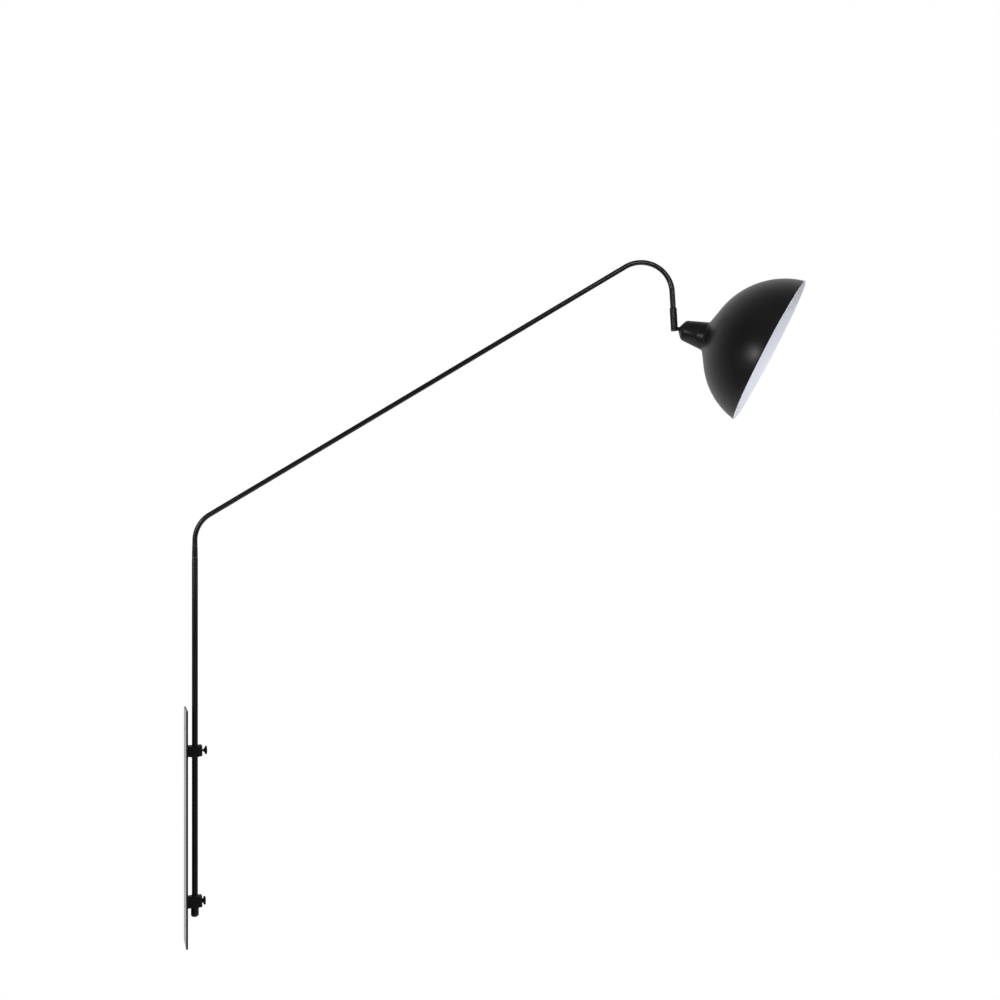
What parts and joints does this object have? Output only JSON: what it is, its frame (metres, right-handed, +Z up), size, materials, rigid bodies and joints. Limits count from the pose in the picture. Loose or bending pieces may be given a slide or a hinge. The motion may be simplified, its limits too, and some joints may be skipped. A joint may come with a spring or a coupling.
{
  "type": "swing-arm wall light",
  "caption": "Swing-arm wall light: a bent tube that turns and slides in two clamp blocks on a wall plate, with a slanted dome shade on a ball joint at its tip.",
  "frame": {"origin": "centre of the wall plate's back face", "axes": "+X out of the wall into the room, +Z up along the plate and the standing tube, +Y sideways along the wall"},
  "size_m": [0.9452, 0.4582, 1.0941],
  "materials": {
    "black_powder_coat_steel": "satin",
    "black_lacquer_aluminium": "satin",
    "blackened_steel": "satin",
    "zinc_plated_steel": "satin",
    "spring_steel": "satin",
    "turned_brass": "satin",
    "nickel_plated_brass": "satin",
    "black_nylon": "matte",
    "black_rubber": "matte",
    "flex_sheath": "matte",
    "phenolic": "gloss",
    "black_glass": "gloss",
    "opal_glass": "satin"
  },
  "bodies": {
    "wall_bracket": {"wall_plate": "black_powder_coat_steel", "block_screws": "zinc_plated_steel", "upper_clamp_block": "black_powder_coat_steel", "lower_clamp_block": "black_powder_coat_steel"},
    "bush_set": {"upper_bush": "black_nylon", "lower_bush": "black_nylon"},
    "arm": {"lower_tube": "black_powder_coat_steel", "joint_ferrule": "zinc_plated_steel", "arm_tube": "black_powder_coat_steel", "end_cap": "black_powder_coat_steel", "cord_grommet": "black_rubber", "arm_flex": "flex_sheath", "swivel_spigot": "blackened_steel"},
    "ball_joint_housing": {"ball_housing": "black_powder_coat_steel", "housing_ring": "turned_brass", "disc_springs": "spring_steel", "spacer_tube": "turned_brass", "ball_seat": "black_nylon"},
    "shade_head": {"ball_stem": "blackened_steel", "cup_nut": "zinc_plated_steel", "socket_cup": "black_lacquer_aluminium", "shade_dome": "black_lacquer_aluminium", "dome_ring": "turned_brass", "holder_cap": "phenolic", "holder_nut": "zinc_plated_steel", "holder_body": "phenolic", "screw_shell": "turned_brass", "centre_contact": "turned_brass", "neck_flex": "flex_sheath", "bulb_tip": "black_glass", "bulb_cap": "nickel_plated_brass", "bulb_glass": "opal_glass"},
    "upper_pad": {"upper_screw_pad": "black_nylon"},
    "upper_screw": {"upper_thumbscrew": "blackened_steel"},
    "lower_pad": {"lower_screw_pad": "black_nylon"},
    "lower_screw": {"lower_thumbscrew": "blackened_steel"}
  },
  "joints": [
    {"name": "arm_swing", "type": "hinge", "parent": "wall_bracket", "child": "bush_set", "pos_m": [0.0154, 0, 0], "axis": [0, 0, 1], "range_deg": [-66, 104]},
    {"name": "arm_lift", "type": "slide", "parent": "bush_set", "child": "arm", "axis": [0, 0, 1], "range_m": [-0.25, 0]},
    {"name": "shade_swivel", "type": "hinge", "parent": "arm", "child": "ball_joint_housing", "pos_m": [0.73885, -0.2491, 0.82883], "axis": [-0.0561, 0.0193, 0.9982], "range_deg": [-96.5, 123.5]},
    {"name": "shade_tilt", "type": "hinge", "parent": "ball_joint_housing", "child": "shade_head", "pos_m": [0.74062, -0.24971, 0.79728], "axis": [-0.5369, -0.8435, -0.0138], "range_deg": [-65.5, 18.5]},
    {"name": "upper_pad_travel", "type": "slide", "parent": "wall_bracket", "child": "upper_pad", "axis": [1, 0, 0], "range_m": [-0.0021, 0]},
    {"name": "upper_screw_turn", "type": "hinge", "parent": "upper_pad", "child": "upper_screw", "pos_m": [0.0154, 0, 0.1205], "axis": [1, 0, 0], "range_deg": [-1081, 1]},
    {"name": "lower_pad_travel", "type": "slide", "parent": "wall_bracket", "child": "lower_pad", "axis": [1, 0, 0], "range_m": [0, 0.0021]},
    {"name": "lower_screw_turn", "type": "hinge", "parent": "lower_pad", "child": "lower_screw", "pos_m": [0.0154, 0, -0.1205], "axis": [1, 0, 0], "range_deg": [-1, 1081]}
  ],
  "couplings": [
    {"joint": "upper_screw_turn", "follows": "upper_pad_travel", "rad_per_m": 8976},
    {"joint": "lower_screw_turn", "follows": "lower_pad_travel", "rad_per_m": 8976}
  ]
}
